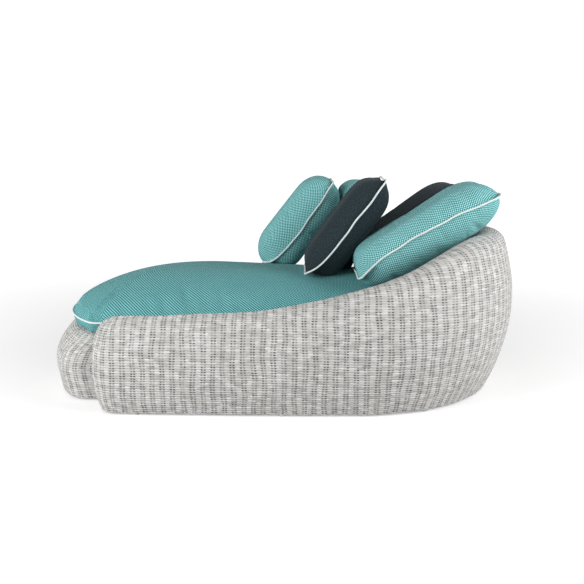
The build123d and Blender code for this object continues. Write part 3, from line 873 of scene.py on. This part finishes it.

# %% [markdown]
# ### Solution-dyed acrylic cloth
# The aqua cloth is a coarse basket weave: light aqua yarn over dark teal, so each yarn crossing shows as a
# small light square. Two crossed waves make the squares 5.8 mm wide, and a noise makes the yarn uneven. Sheen
# gives the soft light at grazing angles that cloth has. The seat's cover uses a darker copy of the same aqua
# cloth: painted shade on the seat, which faces up into the stronger light. The charcoal cloth is a finer
# weave whose yarns differ more, a heather.


# %% Two-tone basket cloth
def basket_cloth(name, light, dark, square, low, high, grain, fleck):
    finish, tree, shader = new_finish(name, 0.9)
    shader.inputs["Sheen Weight"].default_value = 0.04
    shader.inputs["Sheen Roughness"].default_value = 0.5
    shader.inputs["Specular IOR Level"].default_value = 0.1
    place = add_node(tree, "SeparateXYZ", {0: from_uv(tree)})
    wobble = add_node(tree, "TexNoise", {"Vector": from_uv(tree), "Scale": 60.0, "Detail": 1.0})
    waves = []
    for axis in (0, 1):
        turn = add_node(tree, "Math", {0: place.outputs[axis], 1: pi / square}, operation="MULTIPLY")
        bent = add_node(tree, "Math", {0: wobble.outputs[0], 1: 0.7, 2: turn}, operation="MULTIPLY_ADD")
        waves.append(add_node(tree, "Math", {0: bent}, operation="SINE"))
    crossing = add_node(tree, "Math", {0: waves[0], 1: waves[1]}, operation="MULTIPLY")
    share = add_node(tree, "MapRange", {0: crossing, 1: low, 2: high})
    yarn = add_node(tree, "TexNoise", {"Vector": from_uv(tree), "Scale": 1.0 / grain, "Detail": 2.0})
    yarn_tone = add_node(tree, "MapRange", {0: yarn.outputs[0], 1: 0.3, 2: 0.7, 3: 1 - fleck, 4: 1 + fleck})
    colour = add_node(tree, "Mix", {0: share, 6: linear(dark), 7: linear(light)}, data_type="RGBA")
    toned = add_node(tree, "VectorMath", {0: colour.outputs[2], 3: yarn_tone}, operation="SCALE")
    tree.links.new(toned.outputs[0], shader.inputs["Base Color"])
    height = add_node(tree, "Math", {0: crossing}, operation="ABSOLUTE")
    bump = add_node(tree, "Bump", {"Height": height, "Distance": 0.0008, "Strength": 0.6})
    tree.links.new(bump.outputs[0], shader.inputs["Normal"])
    return finish


check = {"square": 0.0058, "low": 0.0, "high": 0.65, "grain": 0.0024, "fleck": 0.13}
heather = {"square": 0.0030, "low": -0.6, "high": 0.9, "grain": 0.0045, "fleck": 0.7}
aqua = basket_cloth("aqua_acrylic_basket_cloth", "c4f1f0", "2a8285", **check)
# A darker copy of the aqua cloth for the seat: painted shade on the upward-facing seat.
aqua_seat_painted_shade = basket_cloth("aqua_acrylic_cloth_painted_seat_shade", "a2dada", "1d6f73", **check)
charcoal = basket_cloth("charcoal_acrylic_heather_cloth", "3b494f", "12191d", **heather)

# %% [markdown]
# ### Piping, zips and the frame
# The piping is a cotton cord in a bias strip of pale cloth. The zips are a nylon coil on a woven tape.
# The tubes are aluminium with a baked powder coat, which has the fine pebbled skin of that process,
# the screws are zinc-plated steel, and the feet are moulded polyamide.


# %% Plain finishes with their surface
def speckled(name, light, dark, grain, roughness, metallic=0.0, depth=0.0002):
    finish, tree, shader = new_finish(name, roughness, metallic)
    spot = add_node(tree, "TexNoise", {"Vector": from_object(tree), "Scale": 1.0 / grain, "Detail": 3.0})
    share = add_node(tree, "MapRange", {0: spot.outputs[0], 1: 0.35, 2: 0.65})
    colour = add_node(tree, "Mix", {0: share, 6: linear(dark), 7: linear(light)}, data_type="RGBA")
    tree.links.new(colour.outputs[2], shader.inputs["Base Color"])
    bump = add_node(tree, "Bump", {"Height": spot.outputs[0], "Distance": depth, "Strength": 0.5})
    tree.links.new(bump.outputs[0], shader.inputs["Normal"])
    return finish


piping_cloth = speckled("pale_bias_cut_piping", "e4eae9", "c4cfce", 0.003, 0.85)
zip_tape = speckled("nylon_coil_zip", "5d8f90", "3a6a6c", 0.002, 0.5)
powder_coat = speckled("powder_coated_aluminium", "c4c5c3", "b4b5b3", 0.0012, 0.45)
zinc_steel = speckled("zinc_plated_steel", "b9bcc0", "9b9fa4", 0.004, 0.35, 1.0, 0.00005)
polyamide = speckled("moulded_polyamide", "cfd0cd", "bfc0bd", 0.0015, 0.5)

# %% [markdown]
# ## Dressing the frame
# Each new piece takes its finish, rides on the body that carries it and stands for the solids that it
# covers. The tubes, feet, ties and screws keep their own shape and only get a finish.

# %% Woven pieces on the frame
for sheet in wall_sheets:
    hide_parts("arm_and_back_weave")
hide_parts("arm_end_weave")
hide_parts("wing_end_weave")
for sheet in platform_sheets:
    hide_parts("platform_weave")
for sheet in wall_sheets + [arm_end, wing_end] + platform_sheets:
    sheet.data.materials.append(woven_strand)
    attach(sheet, "sofa")


# %% [markdown]
# A cushion's cover stands for the cover and for the filling inside it, and all its pieces ride on the
# cushion's own body, so they lift off together. The subdivision rounds the cloth's last facets.

# %% Cushions on their bodies
def dress_cushion(body, cover, piping, tape, finish, slot, fill, inner):
    dressed = ((cover, finish, slot), (piping, piping_cloth, "piping"), (tape, zip_tape, "zip"))
    for piece, material, name in dressed:
        piece.data.materials.append(material)
    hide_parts(f"{body}_cover", f"{body}_{inner}")
    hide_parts(f"{body}_piping")
    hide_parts(f"{body}_zip")
    rounder = cover.modifiers.new("rounder", "SUBSURF")
    rounder.levels = rounder.render_levels = 1
    for piece in (cover, piping, tape):
        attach(piece, body)


finishes = {"aqua_cloth": aqua, "charcoal_cloth": charcoal}
for name, shape in CUSHIONS.items():
    cloth = shape["cloth"]
    pieces = (covers[name], pipings[name], zips[name])
    dress_cushion(f"{name}_cushion", *pieces, finishes[cloth], cloth, 0.8, "fill")
# The seat cover takes the darker copy of the aqua cloth, painted shade on the seat.
dress_cushion("seat_cushion", seat, seat_piping, seat_zip, aqua_seat_painted_shade, "aqua_cloth", 0.9, "foam")

# %% [markdown]
# What keeps its own shape only gets its finish: the aluminium, the screws, the feet and the deck.

# %% Finishes of the solids that stay
node_finishes = {
    "wall_foot_tube": powder_coat, "wall_rim_tube": powder_coat, "wall_posts": powder_coat,
    "platform_foot_tube": powder_coat, "platform_deck_tube": powder_coat, "platform_posts": powder_coat,
    "deck_crossbars": powder_coat, "tie_plates": powder_coat, "tie_screws": zinc_steel,
    "foot_screws": zinc_steel, "feet": polyamide, "deck_weave": woven_deck,
}
for node, finish in node_finishes.items():
    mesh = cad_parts[node].data
    mesh.materials.clear()
    mesh.materials.append(finish)
print("finished", len(node_finishes), "solids")

# %% [markdown]
# ## Studio
# The photograph is a cut-out on white with a faint shadow under the sofa. The floor is white to the
# camera and keeps the shadow, and two large soft lamps in front, right and left, shape the weave. The
# world gives the even light of a white room.

# %% Floor and world
def seen_directly(tree):
    path = add_node(tree, "LightPath")
    seen = add_node(tree, "Math", {0: path.outputs["Is Camera Ray"], 1: path.outputs["Is Glossy Ray"]},
                    operation="MAXIMUM")
    return add_node(tree, "Math", {0: seen, 1: path.outputs["Is Transmission Ray"]}, operation="MAXIMUM")


bm = bmesh.new()
bmesh.ops.create_grid(bm, x_segments=1, y_segments=1, size=30)
floor_piece = put_in_scene(bm, "studio_floor")
floor_finish, tree, shader = new_finish("studio_floor_paint", 0.9)
shader.inputs["Base Color"].default_value = linear("cdcdcd")
shader.inputs["Specular IOR Level"].default_value = 0.0
shader.inputs["Emission Color"].default_value = linear("ffffff")
reach = add_node(tree, "VectorMath", {0: from_object(tree)}, operation="LENGTH")
level = add_node(tree, "MapRange", {0: reach.outputs["Value"], 1: 1.2, 2: 5.0, 3: 0.46, 4: 0.95})
glow = add_node(tree, "Math", {0: seen_directly(tree), 1: level}, operation="MULTIPLY")
tree.links.new(glow.outputs[0], shader.inputs["Emission Strength"])
floor_piece.data.materials.append(floor_finish)

world = bpy.data.worlds.new("studio")
bpy.context.scene.world = world
world.use_nodes = True
tree = world.node_tree
back = tree.nodes["Background"]
sky = add_node(tree, "SeparateXYZ", {0: add_node(tree, "TexCoord").outputs["Generated"]})
dome = add_node(tree, "MapRange", {0: sky.outputs[2], 1: 0.1, 2: 0.8, 3: 0.76, 4: 0.14})
level = add_node(tree, "Mix", {0: seen_directly(tree), 2: dome, 3: 1.0})
back.inputs["Color"].default_value = (1, 1, 1, 1)
tree.links.new(level.outputs[0], back.inputs["Strength"])

# %% [markdown]
# Two area lamps stand in front, one on each side. The right one is a little stronger and brings out
# the high back, as in the photograph.

# %% Lamps
def soft_lamp(name, place, target, size, power):
    lamp = bpy.data.lights.new(name, "AREA")
    lamp.size = size
    lamp.energy = power
    piece = bpy.data.objects.new(name, lamp)
    piece.location = place
    piece.rotation_euler = (Vector(target) - Vector(place)).to_track_quat("-Z", "Y").to_euler()
    bpy.context.scene.collection.objects.link(piece)


soft_lamp("key_lamp", (3.7, -2.2, 2.0), (0.3, 0, 0.4), 2.2, 150)
soft_lamp("fill_lamp", (-3.2, -2.6, 1.9), (-0.1, 0, 0.5), 2.0, 145)

# %% [markdown]
# ## Camera
# The photograph was taken from 4.2 m away at a standing eye, a little above the sofa and square to its
# near side.

# %% Camera
CAMERA_PLACE, CAMERA_PITCH, LENS, SENSOR = (0.0435, -4.23, 1.2), 10.5, 55.36, 36
lens = bpy.data.cameras.new("photo_camera")
lens.sensor_width = SENSOR
lens.lens = LENS
camera = bpy.data.objects.new("photo_camera", lens)
camera.location = CAMERA_PLACE
camera.rotation_euler = (radians(90 - CAMERA_PITCH), 0, 0)
bpy.context.scene.collection.objects.link(camera)
bpy.context.scene.camera = camera

view = bpy.context.scene.view_settings
view.view_transform = "Standard"
